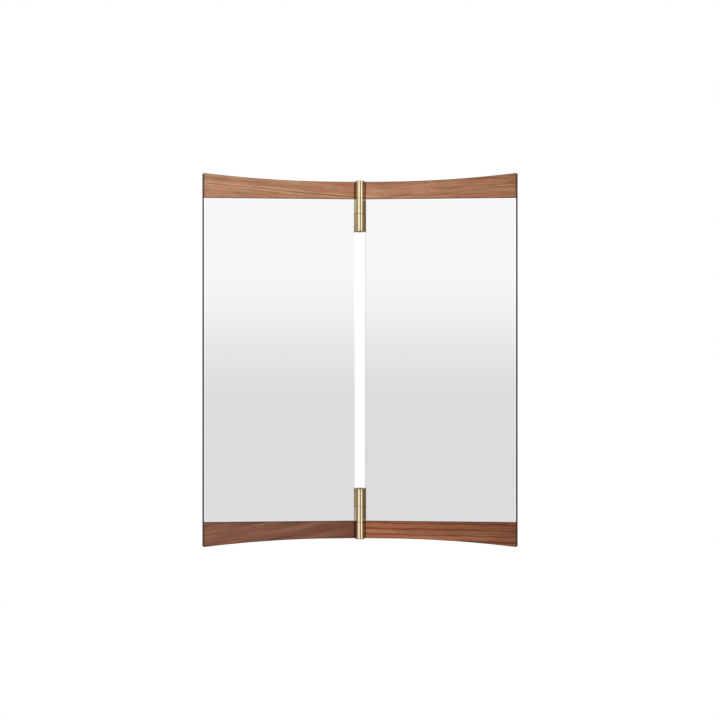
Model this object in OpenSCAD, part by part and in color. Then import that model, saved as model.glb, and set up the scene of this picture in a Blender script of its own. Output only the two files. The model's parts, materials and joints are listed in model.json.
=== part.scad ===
// Wall mirror of two wood-framed panels that swing on two brass hinge barrels.
// The wall plane is y = 0, the hinge axis stands in front of it at x = 0, and z = 0 is mid height.

/* [Overall] */
// Width across both panels when they lie flat to the wall
mirror_w = 594; // [480:1:760]
// Height at the outer corners
mirror_h = 700; // [600:1:900]
// How much lower a rail's outer edge is at the hinge than at the corner
waist_drop = 13.7; // [6:0.1:22]
// Straight stretch of that edge, measured from the hinge axis
straight_run = 50; // [30:1:80]
// Thickness of a panel
panel_t = 21; // [19:0.5:28]
// Angle of each panel forward of flat in the rest pose, in degrees
rest_swing = 11.5; // [0:0.5:60]

/* [Panel frame] */
// Height of a rail's face beside the hinge
rail_h = 32.8; // [28:0.1:50]
// Height of the ledge behind the glass on each rail
ledge_h = 20; // [18:0.5:30]
// Width of a stile
stile_w = 30; // [25:0.5:44]
// Height of the middle rail behind the glass
middle_rail_h = 40; // [32:1:70]
// Thickness of the back board
back_t = 4; // [3:0.5:5]
// Width of the rebate that holds the back board
rebate_w = 8; // [7:0.5:10]
// Gap round the back board in its rebate
back_gap = 0.3; // [0.1:0.1:1]
// Chamfer on the outer edges of the wood
arris = 0.8; // [0.3:0.1:1.5]
// Diameter of the felt pads that meet the wall
pad_d = 16; // [10:1:16]
// Distance of a pad's centre from the stile's end
pad_up = 46; // [20:1:60]

/* [Mirror glass] */
// Thickness of the glass
glass_t = 4; // [3:0.5:5]
// Width of the bevel round its face
bevel_w = 2.2; // [1:0.1:8]
// Fall of the bevel from the face to the edge
bevel_drop = 0.8; // [0.3:0.1:2]
// Gap between the glass and each rail
glass_gap = 0.4; // [0.2:0.1:1.5]
// Distance of the glass inside the panel's inner and outer sides
glass_inset = 0.2; // [0:0.1:1]
// Thickness of the mounting tape behind the glass
tape_t = 0.8; // [0.5:0.1:1.5]
// Width of the tape
tape_w = 10; // [6:0.5:12]

/* [Hinge barrel] */
// Diameter of a barrel
barrel_d = 18; // [15:0.5:24]
// Length of the outer knuckle, on the left panel's leaf
outer_len = 32.5; // [28:0.5:44]
// Length of the middle knuckle, on the right panel's leaf
middle_len = 30.5; // [24:0.5:44]
// Length of the inner knuckle, on the wall arm
inner_len = 30; // [24:0.5:44]
// Length of the pin's cap at the inner end
cap_len = 5; // [3:0.5:8]
// How far a barrel stands beyond the rail
barrel_proud = 2.4; // [0:0.1:4]
// Radius of the crown on a barrel's two ends
crown_r = 38; // [30:1:90]
// Rounding of the edge at a barrel's outer end
end_round = 0.5; // [0.3:0.1:1]
// Rounding of the edge at its inner end
cap_round = 1.7; // [0.8:0.1:2.4]
// Chamfer at each seam between knuckles
seam_chamfer = 0.2; // [0.1:0.05:0.6]
// Distance of the hinge axis in front of the panel's face
axis_front = 3.6; // [2:0.1:5]
// Clearance between a barrel and the front corner of a panel beside its glass
corner_gap = 0.3; // [0.2:0.01:1.5]
// Clearance round a barrel inside the cove of the rail's end
cove_gap = 1.9; // [1:0.1:2.5]
// How far the rail's end wraps behind a barrel, inwards of the panel's side
cove_wrap = 2.1; // [1.5:0.1:2.5]
// Gap at a seam where one knuckle turns on the next
seam_gap = 0.4; // [0.3:0.1:1]
// Axial play on each side of a thrust washer
washer_play = 0.05; // [0.03:0.01:0.1]
// Diameter of the hinge pin
pin_d = 8; // [6:0.1:9.6]
// Radial clearance of the pin in its bushes
pin_gap = 0.05; // [0.02:0.01:0.1]
// Wall of a bush
bush_t = 1.5; // [1:0.1:1.6]
// Step in from the pin to its threaded end
thread_step = 1; // [0.5:0.1:1.5]
// Wall of the nut outside the pin's radius
nut_wall = 2.2; // [2:0.1:2.4]
// Height of the nut
nut_h = 7; // [6:0.5:8]
// Height of the spring washer under the nut
spring_h = 1.6; // [1.4:0.1:2.4]
// Metal of the spring washer
spring_t = 0.8; // [0.5:0.1:1]
// Radial clearance of the nut in the outer knuckle
nut_gap = 0.3; // [0.2:0.05:0.5]

/* [Hinge leaf] */
// Thickness of the strap let into the panel's side
strap_t = 3; // [2:0.5:4]
// Depth of the wood in front of the strap
strap_back = 3; // [2:0.1:4]
// Height of wood left beyond the strap at the rail's outer edge
strap_cover = 6.3; // [4:0.1:12]
// Distance of the strap's inner end from the barrel's inner end
strap_short = 6; // [2:0.5:10]
// Thickness of the neck that joins the knuckle to the strap
neck_t = 5.4; // [4:0.1:5.5]
// Depth of the foot where the neck meets the strap
foot_t = 4; // [3:0.5:5]
// Screws in each strap
leaf_screws = 4; // [3:1:5]

/* [Wall bracket] */
// Gap between the back of a flat panel and the wall
wall_gap = 6.4; // [6:0.1:12]
// Width of a wall plate
plate_w = 100; // [80:1:140]
// Height of a wall plate
plate_h = 36; // [30:1:44]
// Thickness of a wall plate
plate_t = 5; // [4:0.5:5.5]
// Corner radius of a wall plate
plate_corner = 8; // [3:0.5:12]
// Distance of a wall screw hole from the plate's end
wall_hole_edge = 10; // [7:0.5:14]
// Diameter of a wall screw hole
wall_hole_d = 5.2; // [4:0.1:6.5]
// Diameter of its countersink
wall_sink_d = 10; // [8:0.5:12]
// Width of the arm between plate and barrel
arm_w = 12; // [10:0.5:14]
// Depth of the pocket that seats the arm in the plate
pocket = 1.5; // [1:0.1:2]

/* [Fixings] */
// Diameter of a dowel
dowel_d = 6; // [5:0.5:6]
// Length of a dowel
dowel_len = 30; // [24:1:34]
// Distance of a dowel's axis from the side of the stile
dowel_edge = 8; // [7.5:0.5:9]
// Gap round what is glued, pressed or screwed in
seat_gap = 0.05; // [0.02:0.01:0.1]

/* [Hidden] */
$fn = 64;

// Panel space belongs to the right panel lying flat: x runs outwards from the hinge axis,
// y backwards from it to the wall, and z up from mid height. The left panel is its mirror image.
barrel_r = barrel_d / 2;
pin_r = pin_d / 2;
thread_r = pin_r - thread_step;
bush_r = pin_r + bush_t;
nut_r = pin_r + nut_wall;
face_y = axis_front;
frame_y = face_y + glass_t + tape_t;
back_y = face_y + panel_t;
wall_y = back_y + wall_gap;
cove_r = barrel_r + cove_gap;
inner_x = sqrt(pow(barrel_r + corner_gap, 2) - pow(axis_front, 2));
wrap_x = inner_x - cove_wrap;
outer_x = mirror_w / 2;
middle_x = (inner_x + outer_x) / 2;
pad_x = outer_x - (stile_w - rebate_w) / 2;

// Heights above mid height: the rail's outer edge at the corner and at the waist, the shoulder
// where its face meets the glass, and the lower edge of its ledge
corner_z = mirror_h / 2;
waist_z = corner_z - waist_drop;
shoulder_z = waist_z - rail_h;
ledge_z = shoulder_z - ledge_h;

// The curved edge is an arc that leaves the straight stretch along its tangent
arc_run = outer_x - straight_run;
arc_r = (pow(arc_run, 2) + pow(waist_drop, 2)) / (2 * waist_drop);
arc_fn = 720;

// Heights of the upper barrel, from its outer end to its inner end
barrel_top = waist_z + barrel_proud;
outer_seam = barrel_top - outer_len;
middle_seam = outer_seam - middle_len;
cap_seam = middle_seam - inner_len;
barrel_end = cap_seam - cap_len;

// Counterbore of the outer knuckle, with the spring washer on its floor and the nut above it
nut_sink = 0.4;
nut_z = barrel_top - nut_sink - nut_h;
floor_z = nut_z - spring_h;
nut_cover = 2;
thread_len = nut_h - nut_cover;
slot_w = 1.2;
slot_depth = 1;

// Strap of a leaf
strap_x = inner_x + strap_t;
strap_y = frame_y + strap_back;
strap_lo = barrel_end + strap_short;
strap_hi = waist_z - strap_cover;

// Heights between which the neck of each leaf leaves its knuckle
knuckle_rim = seam_gap / 2 + seam_chamfer;
left_neck = [outer_seam + knuckle_rim, strap_hi];
right_neck = [middle_seam + knuckle_rim, outer_seam - knuckle_rim];

// Screws: diameter, head diameter, length. A leaf screw ends short of the back board.
LEAF_SCREW = [3.5, 7, stile_w - rebate_w - 2];
BACK_SCREW = [3, 6, 12];
ARM_SCREW = [5, 9.5, 16];
head_rim = 0.3;
drive_w = 0.9;
drive_depth = 1.2;
leaf_screw_y = back_y - 4.6;
leaf_screw_end = 10;
leaf_screw_step = (strap_hi - strap_lo - 2 * leaf_screw_end) / (leaf_screws - 1);
back_screw_pitch = ledge_z / 2;
arm_screw_pitch = 16;

// Dowels lie in front of the leaf screws
dowel_y = frame_y + 4.6;
corner_dowel_x = [
  inner_x + dowel_edge, inner_x + stile_w - dowel_edge,
  outer_x - stile_w + dowel_edge, outer_x - dowel_edge
];

// Room by which a cutter passes the face that it opens
over = 1;

// Colours
walnut_top_left = [0.70, 0.52, 0.41];
walnut_top_right = [0.64, 0.45, 0.35];
walnut_bottom_left = [0.53, 0.37, 0.29];
walnut_bottom_right = [0.51, 0.33, 0.25];
walnut_side = [0.40, 0.29, 0.24];
plywood = [0.76, 0.62, 0.45];
beech = [0.85, 0.70, 0.50];
silver = [0.88, 0.89, 0.90];
tape_white = [0.92, 0.92, 0.90];
brass = [0.78, 0.65, 0.37];
steel = [0.60, 0.60, 0.62];
nylon = [0.16, 0.16, 0.16];
felt = [0.30, 0.28, 0.26];

// A box from its ranges on the three axes
module span(x, y, z) {
  translate([x[0], y[0], z[0]]) cube([x[1] - x[0], y[1] - y[0], z[1] - z[0]]);
}

// The shape itself and its copy in the lower half
module both_halves() {
  children();
  mirror([0, 0, 1]) children();
}

// Places: what stays on the wall, and the two panels at their rest angle
module on_wall() {
  translate([0, -wall_y, 0]) children();
}

module on_right() {
  on_wall() rotate([0, 0, -rest_swing]) children();
}

module on_left() {
  mirror([1, 0, 0]) on_right() children();
}

module lower() {
  mirror([0, 0, 1]) children();
}

// Points of an arc round [x, z] from one angle to another
function round_points(x, z, r, from, to, steps = 4) =
  [for (i = [0 : steps]) let (a = from + (to - from) * i / steps) [x + r * cos(a), z + r * sin(a)]];

// Height of a crown at a radius
function crown_z(top, x) = top - crown_r + sqrt(pow(crown_r, 2) - pow(x, 2));

// Points of a crown inwards of a radius, to its top on the axis
function crown_points(top, x, steps = 4) =
  [for (i = [steps - 1 : -1 : 0]) [x * i / steps, crown_z(top, x * i / steps)]];

// Points of a barrel's end from its side, round its edge and over its crown to the axis
function end_points(top, edge) =
  let (
    reach = barrel_r - edge,
    rise = sqrt(pow(crown_r - edge, 2) - pow(reach, 2)),
    turn = atan2(rise, reach)
  )
  concat(
    round_points(reach, top - crown_r + rise, edge, 0, turn, 6),
    crown_points(top, crown_r * cos(turn))
  );

// Cutter that chamfers the edge through a point along one axis
module arris_cut(at, axis, run) {
  side = arris * sqrt(2);
  translate(at)
    rotate(45 * axis)
      cube([for (i = [0 : 2]) axis[i] == 1 ? run : side], center = true);
}

// A countersunk screw from its head at z = 0 to its tip, or with room > 0 the hole that it fills
module screw(size, room = 0) {
  shank_r = size[0] / 2 + room;
  head_r = size[1] / 2 + room;
  top = room > 0 ? -over : 0;
  tip = size[2] + room;
  cone = head_rim + head_r - shank_r;
  difference() {
    rotate_extrude()
      polygon([
        [0, top], [head_r, top], [head_r, head_rim], [shank_r, cone],
        [shank_r, tip - shank_r], [0, tip]
      ]);
    if (room == 0)
      for (turn = [0, 90])
        rotate([0, 0, turn])
          cube([size[1] / 2, drive_w, 2 * drive_depth], center = true);
  }
}

// Section of a rail along its length, with its face, its ledge and the chamfers of its outer edge
module rail_bar(x_from, x_to, top) {
  translate([x_from, 0, 0])
    rotate([90, 0, 90])
      linear_extrude(x_to - x_from)
        polygon([
          [face_y, shoulder_z + arris / 2], [face_y, top - arris], [face_y + arris, top],
          [back_y - arris, top], [back_y, top - arris], [back_y, ledge_z],
          [frame_y, ledge_z], [frame_y, shoulder_z], [face_y + arris / 2, shoulder_z]
        ]);
}

// Round cutter above the curved edge, flared at both faces to chamfer it
module rail_curve_cut() {
  flare = arris + over;
  translate([straight_run, face_y, waist_z + arc_r])
    rotate([-90, 0, 0])
      rotate_extrude($fn = arc_fn)
        polygon([
          [0, -over], [arc_r + flare, -over], [arc_r, arris],
          [arc_r, panel_t - arris], [arc_r + flare, panel_t + over], [0, panel_t + over]
        ]);
}

// The rail's end wraps behind the barrel in a cove, cut away where the leaf's neck passes it
module rail_end_cut(neck) {
  span([-over, wrap_x], [0, back_y + over], [ledge_z - over, corner_z]);
  span([0, inner_x], [0, back_y + over], [ledge_z - over, shoulder_z]);
  span([0, inner_x], [0, strap_y], [neck[0] - seat_gap, neck[1] + seat_gap]);
  translate([0, 0, ledge_z]) cylinder(r = cove_r, h = mirror_h);
}

// Rail whose leaf has its neck between two heights
module rail(neck) {
  difference() {
    union() {
      rail_bar(0, straight_run, waist_z);
      difference() {
        rail_bar(straight_run, outer_x, corner_z + arris + over);
        rail_curve_cut();
      }
    }
    rail_end_cut(neck);
    for (at = [[outer_x, face_y], [outer_x, back_y], [wrap_x, back_y]])
      arris_cut([at[0], at[1], corner_z], [0, 0, 1], mirror_h);
    arris_cut([wrap_x, back_y, waist_z], [0, 1, 0], 3 * panel_t);
    arris_cut([outer_x, back_y, corner_z], [0, 1, 0], 3 * panel_t);
    strap_mortise();
    back_board_space(back_gap);
    leaf_screw_set(seat_gap);
    corner_dowels(seat_gap);
    back_screw_set(seat_gap);
  }
}

module stile(x_from) {
  difference() {
    span([x_from, x_from + stile_w], [frame_y, back_y], [-ledge_z, ledge_z]);
    back_board_space(back_gap);
    back_screw_set(seat_gap);
    both_halves() corner_dowels(seat_gap);
    middle_dowels(seat_gap);
    children();
  }
}

module inner_stile() {
  stile(inner_x)
    union() {
      both_halves() {
        strap_mortise();
        leaf_screw_set(seat_gap);
      }
      arris_cut([inner_x, back_y, 0], [0, 0, 1], 2 * mirror_h);
    }
}

module outer_stile() {
  stile(outer_x - stile_w)
    arris_cut([outer_x, back_y, 0], [0, 0, 1], 2 * mirror_h);
}

module middle_rail() {
  half = middle_rail_h / 2;
  difference() {
    span([inner_x + stile_w, outer_x - stile_w], [frame_y, back_y - back_t], [-half, half]);
    middle_dowels(seat_gap);
    back_screw_set(seat_gap);
  }
}

// Dowels between the upper rail and the stiles, or with room > 0 their holes
module corner_dowels(room = 0) {
  for (x = corner_dowel_x)
    translate([x, dowel_y, ledge_z])
      cylinder(d = dowel_d + 2 * room, h = dowel_len + 2 * room, center = true);
}

// Dowels between the stiles and the middle rail, or their holes
module middle_dowels(room = 0) {
  for (x = [inner_x + stile_w, outer_x - stile_w], z = [-1, 1] * middle_rail_h / 4)
    translate([x, dowel_y, z])
      rotate([0, 90, 0])
        cylinder(d = dowel_d + 2 * room, h = dowel_len + 2 * room, center = true);
}

module dowels() {
  both_halves() corner_dowels();
  middle_dowels();
}

// Space of the back board, larger by the gap round it where it cuts the rebate
module back_board_space(gap = 0) {
  side = stile_w - rebate_w - gap;
  high = ledge_z + rebate_w + gap;
  rear = gap > 0 ? over : 0;
  span([inner_x + side, outer_x - side], [back_y - back_t, back_y + rear], [-high, high]);
}

// Screws of the back board into the stiles, the rails and the middle rail
module back_screw_set(room = 0) {
  lip = rebate_w / 2;
  spread = (outer_x - inner_x) / 4;
  at_stiles = [
    for (x = [inner_x + stile_w - lip, outer_x - stile_w + lip], k = [-1.5, -0.5, 0.5, 1.5])
      [x, k * back_screw_pitch]
  ];
  at_rails = [
    for (x = [middle_x - spread, middle_x + spread], z = [-ledge_z - lip, 0, ledge_z + lip]) [x, z]
  ];
  for (p = concat(at_stiles, at_rails))
    translate([p[0], back_y, p[1]])
      rotate([90, 0, 0])
        screw(BACK_SCREW, room);
}

module back_board() {
  difference() {
    back_board_space();
    back_screw_set(seat_gap);
  }
}

// Outline of the glass across one direction, with the bevel at both ends
module glass_section(low, high) {
  polygon([
    [low, face_y + bevel_drop], [low + bevel_w, face_y], [high - bevel_w, face_y],
    [high, face_y + bevel_drop], [high, face_y + glass_t], [low, face_y + glass_t]
  ]);
}

module mirror_glass() {
  half = shoulder_z - glass_gap;
  intersection() {
    translate([0, 0, -half])
      linear_extrude(2 * half)
        glass_section(inner_x + glass_inset, outer_x - glass_inset);
    translate([outer_x, 0, 0])
      rotate([0, -90, 0])
        linear_extrude(outer_x)
          glass_section(-half, half);
  }
}

// Strips of tape on the stiles, the ledges and the middle rail, short of each other
module mirror_tape() {
  y = [face_y + glass_t, frame_y];
  edge = (stile_w - tape_w) / 2;
  inner = inner_x + edge;
  outer = outer_x - edge;
  low = ledge_z + (ledge_h - tape_w) / 2;
  for (x = [inner, outer - tape_w])
    span([x, x + tape_w], y, [-low, low]);
  for (z = [-low - tape_w, -tape_w / 2, low])
    span([inner + 2 * tape_w, outer - 2 * tape_w], y, [z, z + tape_w]);
}

// Screws of one strap, or with room > 0 their holes
module leaf_screw_set(room = 0) {
  for (i = [0 : leaf_screws - 1])
    translate([inner_x, leaf_screw_y, strap_lo + leaf_screw_end + i * leaf_screw_step])
      rotate([0, 90, 0])
        screw(LEAF_SCREW, room);
}

// Recess for a strap in the panel's inner side
module strap_mortise() {
  span(
    [0, strap_x + seat_gap], [strap_y - seat_gap, back_y + over],
    [strap_lo - seat_gap, strap_hi + seat_gap]
  );
}

// Neck and foot from the barrel round the glass to the strap
module leaf_neck() {
  neck_out = inner_x - 3 * seat_gap;
  neck_in = neck_out - neck_t;
  foot_y = strap_y + foot_t;
  polygon([
    [neck_in, 0], [neck_out, 0], [neck_out, strap_y], [strap_x, strap_y],
    [strap_x, foot_y], [neck_in + foot_t, foot_y], [neck_in, foot_y - foot_t]
  ]);
}

// Round body of a knuckle between two heights, with a chamfer at each end
module knuckle(low, high) {
  c = seam_chamfer;
  rotate_extrude()
    polygon([
      [0, low], [barrel_r - c, low], [barrel_r, low + c],
      [barrel_r, high - c], [barrel_r - c, high], [0, high]
    ]);
}

// Round body of the outer knuckle, with the barrel's crowned end
module end_knuckle(low, high) {
  c = seam_chamfer;
  rotate_extrude()
    polygon(concat([[0, low], [barrel_r - c, low], [barrel_r, low + c]], end_points(high, end_round)));
}

// Leaf with the knuckle given as its child, whose neck runs between two heights
module leaf(neck) {
  difference() {
    union() {
      children();
      translate([0, 0, neck[0]]) linear_extrude(neck[1] - neck[0]) leaf_neck();
      span([inner_x, strap_x], [strap_y, back_y], [strap_lo, strap_hi]);
    }
    translate([0, 0, strap_lo]) cylinder(r = bush_r + seat_gap, h = mirror_h);
    leaf_screw_set(seat_gap);
  }
}

module left_leaf() {
  difference() {
    leaf(left_neck) end_knuckle(outer_seam + seam_gap / 2, barrel_top);
    translate([0, 0, floor_z]) cylinder(r = nut_r + nut_gap, h = nut_h + spring_h + over);
  }
}

module right_leaf() {
  leaf(right_neck) knuckle(middle_seam + seam_gap / 2, outer_seam - seam_gap / 2);
}

// A plain ring between two radii and two heights
module ring(r_in, r_out, low, high) {
  rotate_extrude() polygon([[r_in, low], [r_out, low], [r_out, high], [r_in, high]]);
}

module left_bush() {
  ring(pin_r + pin_gap, bush_r, outer_seam + seam_gap / 2, floor_z);
}

module right_bush() {
  ring(pin_r + pin_gap, bush_r, middle_seam + seam_gap / 2, outer_seam - seam_gap / 2);
}

module thrust_washers() {
  half = seam_gap / 2 - washer_play;
  for (z = [outer_seam, middle_seam])
    ring(pin_r + nut_gap, barrel_r - 2 * seam_chamfer, z - half, z + half);
}

// Coned spring washer that presses the knuckles together
module spring_washer() {
  r_in = pin_r + nut_gap;
  r_out = nut_r;
  low = floor_z + washer_play;
  high = nut_z - washer_play;
  rotate_extrude()
    polygon([[r_in, high - spring_t], [r_out, low], [r_out, low + spring_t], [r_in, high]]);
}

module pin_nut() {
  top = nut_z + nut_h;
  difference() {
    rotate_extrude()
      polygon(concat(
        [[0, nut_z], [nut_r, nut_z], [nut_r, crown_z(top, nut_r)]], crown_points(top, nut_r)
      ));
    translate([0, 0, nut_z - over])
      cylinder(r = thread_r + seat_gap, h = thread_len + over + seat_gap);
    translate([0, 0, top])
      cube([2 * nut_r + over, slot_w, 2 * slot_depth], center = true);
  }
}

// Pin with the barrel's inner end as its cap
module hinge_pin() {
  c = seam_chamfer;
  rotate_extrude()
    polygon(concat(
      [
        [0, nut_z + thread_len], [thread_r, nut_z + thread_len], [thread_r, nut_z],
        [pin_r, nut_z], [pin_r, cap_seam], [barrel_r - c, cap_seam], [barrel_r, cap_seam - c]
      ],
      [for (p = end_points(0, cap_round)) [p[0], barrel_end - p[1]]]
    ));
}

// Screws that hold an arm to its plate from behind, or their holes
module arm_screw_set(room = 0) {
  arm_z = (cap_seam + middle_seam) / 2;
  for (z = [-1, 1] * arm_screw_pitch / 2)
    translate([0, wall_y, arm_z + z])
      rotate([90, 0, 0])
        screw(ARM_SCREW, room);
}

// Arm from the wall plate to the inner knuckle, grown by a gap where it cuts the plate's pocket
module arm_bar(gap = 0) {
  half = arm_w / 2 + gap;
  low = cap_seam + seam_chamfer - gap;
  high = middle_seam - knuckle_rim + gap;
  span([-half, half], [0, wall_y - plate_t + pocket + gap], [low, high]);
}

module wall_arm() {
  low = cap_seam;
  high = middle_seam - seam_gap / 2;
  difference() {
    union() {
      knuckle(low, high);
      arm_bar();
    }
    translate([0, 0, low - over]) cylinder(r = pin_r + seat_gap, h = inner_len + 2 * over);
    arm_screw_set(seat_gap);
  }
}

// Plate with rounded corners, centred behind the arm
module plate_body() {
  arm_z = (cap_seam + middle_seam) / 2;
  x = plate_w / 2 - plate_corner;
  z = plate_h / 2 - plate_corner;
  translate([0, wall_y, arm_z])
    rotate([90, 0, 0])
      linear_extrude(plate_t) {
        square([plate_w, 2 * z], center = true);
        square([2 * x, plate_h], center = true);
        for (i = [-1, 1], j = [-1, 1]) translate([i * x, j * z]) circle(plate_corner);
      }
}

module wall_plate() {
  arm_z = (cap_seam + middle_seam) / 2;
  hole_r = wall_hole_d / 2;
  sink_r = wall_sink_d / 2;
  difference() {
    plate_body();
    arm_bar(seat_gap);
    arm_screw_set(seat_gap);
    for (x = [-1, 1] * (plate_w / 2 - wall_hole_edge))
      translate([x, wall_y, arm_z])
        rotate([90, 0, 0]) {
          translate([0, 0, -over]) cylinder(r = hole_r, h = plate_t + 2 * over);
          translate([0, 0, plate_t - sink_r + hole_r])
            cylinder(r1 = hole_r, r2 = sink_r + over, h = sink_r - hole_r + over);
        }
  }
}

module wall_pads() {
  both_halves()
    translate([pad_x, back_y, ledge_z - pad_up])
      rotate([-90, 0, 0])
        rotate_extrude()
          polygon(concat(
            [[0, 0], [pad_d / 2, 0]],
            round_points(pad_d / 2 - arris, wall_gap - arris, arris, 0, 90), [[0, wall_gap]]
          ));
}

module upper_wall_plate() color(brass) on_wall() wall_plate();
module lower_wall_plate() color(brass) on_wall() lower() wall_plate();
module upper_wall_arm() color(brass) on_wall() wall_arm();
module lower_wall_arm() color(brass) on_wall() lower() wall_arm();
module arm_screws() color(steel) on_wall() both_halves() arm_screw_set();
module upper_hinge_pin() color(brass) on_wall() hinge_pin();
module lower_hinge_pin() color(brass) on_wall() lower() hinge_pin();
module upper_thrust_washers() color(brass) on_wall() thrust_washers();
module lower_thrust_washers() color(brass) on_wall() lower() thrust_washers();
module spring_washers() color(steel) on_wall() both_halves() spring_washer();
module upper_pin_nut() color(brass) on_wall() pin_nut();
module lower_pin_nut() color(brass) on_wall() lower() pin_nut();

module left_top_rail() color(walnut_top_left) on_left() rail(left_neck);
module left_bottom_rail() color(walnut_bottom_left) on_left() lower() rail(left_neck);
module left_middle_rail() color(walnut_side) on_left() middle_rail();
module left_outer_stile() color(walnut_side) on_left() outer_stile();
module left_inner_stile() color(walnut_side) on_left() inner_stile();
module left_dowels() color(beech) on_left() dowels();
module left_back_board() color(plywood) on_left() back_board();
module left_back_screws() color(steel) on_left() back_screw_set();
module left_mirror_tape() color(tape_white) on_left() mirror_tape();
module left_mirror_glass() color(silver) on_left() mirror_glass();
module left_upper_leaf() color(brass) on_left() left_leaf();
module left_lower_leaf() color(brass) on_left() lower() left_leaf();
module left_bushes() color(nylon) on_left() both_halves() left_bush();
module left_leaf_screws() color(brass) on_left() both_halves() leaf_screw_set();
module left_wall_pads() color(felt) on_left() wall_pads();

module right_top_rail() color(walnut_top_right) on_right() rail(right_neck);
module right_bottom_rail() color(walnut_bottom_right) on_right() lower() rail(right_neck);
module right_middle_rail() color(walnut_side) on_right() middle_rail();
module right_outer_stile() color(walnut_side) on_right() outer_stile();
module right_inner_stile() color(walnut_side) on_right() inner_stile();
module right_dowels() color(beech) on_right() dowels();
module right_back_board() color(plywood) on_right() back_board();
module right_back_screws() color(steel) on_right() back_screw_set();
module right_mirror_tape() color(tape_white) on_right() mirror_tape();
module right_mirror_glass() color(silver) on_right() mirror_glass();
module right_upper_leaf() color(brass) on_right() right_leaf();
module right_lower_leaf() color(brass) on_right() lower() right_leaf();
module right_bushes() color(nylon) on_right() both_halves() right_bush();
module right_leaf_screws() color(brass) on_right() both_halves() leaf_screw_set();
module right_wall_pads() color(felt) on_right() wall_pads();

upper_wall_plate();
lower_wall_plate();
upper_wall_arm();
lower_wall_arm();
arm_screws();
upper_hinge_pin();
lower_hinge_pin();
upper_thrust_washers();
lower_thrust_washers();
spring_washers();
upper_pin_nut();
lower_pin_nut();
left_top_rail();
left_bottom_rail();
left_middle_rail();
left_outer_stile();
left_inner_stile();
left_dowels();
left_back_board();
left_back_screws();
left_mirror_tape();
left_mirror_glass();
left_upper_leaf();
left_lower_leaf();
left_bushes();
left_leaf_screws();
left_wall_pads();
right_top_rail();
right_bottom_rail();
right_middle_rail();
right_outer_stile();
right_inner_stile();
right_dowels();
right_back_board();
right_back_screws();
right_mirror_tape();
right_mirror_glass();
right_upper_leaf();
right_lower_leaf();
right_bushes();
right_leaf_screws();
right_wall_pads();
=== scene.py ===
"""Finishes, felt pads, studio and camera of a folding wall mirror.

The mirror has two walnut-framed panels on brass hinge barrels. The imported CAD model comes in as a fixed
frame, and every shape in it stays as it is. Each operator gives one group of its pieces a procedural finish.
The felt pads are modelled here, and the last operator builds the studio.
"""

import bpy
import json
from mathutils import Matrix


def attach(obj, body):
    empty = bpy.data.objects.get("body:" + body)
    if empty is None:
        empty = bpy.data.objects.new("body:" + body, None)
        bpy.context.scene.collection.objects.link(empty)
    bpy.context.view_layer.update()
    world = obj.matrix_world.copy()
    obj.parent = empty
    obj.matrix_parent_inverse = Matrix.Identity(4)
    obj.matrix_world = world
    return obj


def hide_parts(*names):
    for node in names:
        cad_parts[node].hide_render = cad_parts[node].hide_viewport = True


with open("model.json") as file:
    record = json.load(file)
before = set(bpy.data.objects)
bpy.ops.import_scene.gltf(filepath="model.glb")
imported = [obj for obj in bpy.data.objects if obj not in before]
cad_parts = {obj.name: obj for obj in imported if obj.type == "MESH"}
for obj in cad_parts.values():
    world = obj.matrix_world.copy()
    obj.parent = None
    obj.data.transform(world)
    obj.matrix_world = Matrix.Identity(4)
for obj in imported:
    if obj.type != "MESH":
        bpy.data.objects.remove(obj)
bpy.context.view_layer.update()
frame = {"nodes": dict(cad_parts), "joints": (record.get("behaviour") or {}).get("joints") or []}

import json
import math

import bpy
from bpy.props import FloatProperty, FloatVectorProperty, PointerProperty
from bpy.types import Operator, Panel, PropertyGroup
from mathutils import Matrix, Vector, noise

bl_info = {
    "name": "Folding wall mirror",
    "version": (1, 0, 0),
    "blender": (4, 5, 0),
    "location": "View3D > Sidebar > Wall Mirror",
    "description": "Finishes, felt pads, studio and camera of a two-panel wall mirror",
    "category": "Object",
}

MM = 0.001
SIDES = ("left", "right")

# Both panels turn about the same upright line, and rest swung forward from flat by the same angle
HINGE = Vector(frame["joints"][0]["pos_m"])
REST_SWING = -math.radians(frame["joints"][0]["range_deg"][0])
SWING = {"left": -REST_SWING, "right": REST_SWING}


def screen(red, green, blue):
    """Scene-linear colour of an 8-bit screen colour."""
    return tuple(
        c / 12.92 if c <= 0.04045 else ((c + 0.055) / 1.055) ** 2.4
        for c in (red / 255, green / 255, blue / 255)
    )


def colour(name, description, red, green, blue):
    """Colour property, with its default as an 8-bit screen colour."""
    return FloatVectorProperty(
        name=name,
        description=description,
        subtype="COLOR",
        min=0.0,
        max=1.0,
        default=screen(red, green, blue),
    )


def share(name, description, default):
    """Property between nothing and all."""
    return FloatProperty(
        name=name, description=description, subtype="FACTOR", min=0.0, max=1.0, default=default
    )


def angle(name, description, degrees):
    """Angle property, with its default in degrees."""
    return FloatProperty(name=name, description=description, subtype="ANGLE", default=math.radians(degrees))


def distance(name, description, metres):
    """Length property, with its default in metres."""
    return FloatProperty(
        name=name, description=description, subtype="DISTANCE", unit="LENGTH", precision=4, default=metres
    )


def power(name, description, watts):
    """Lamp power property, with its default in watts."""
    return FloatProperty(
        name=name, description=description, subtype="POWER", unit="POWER", min=0.0, default=watts
    )


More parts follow.
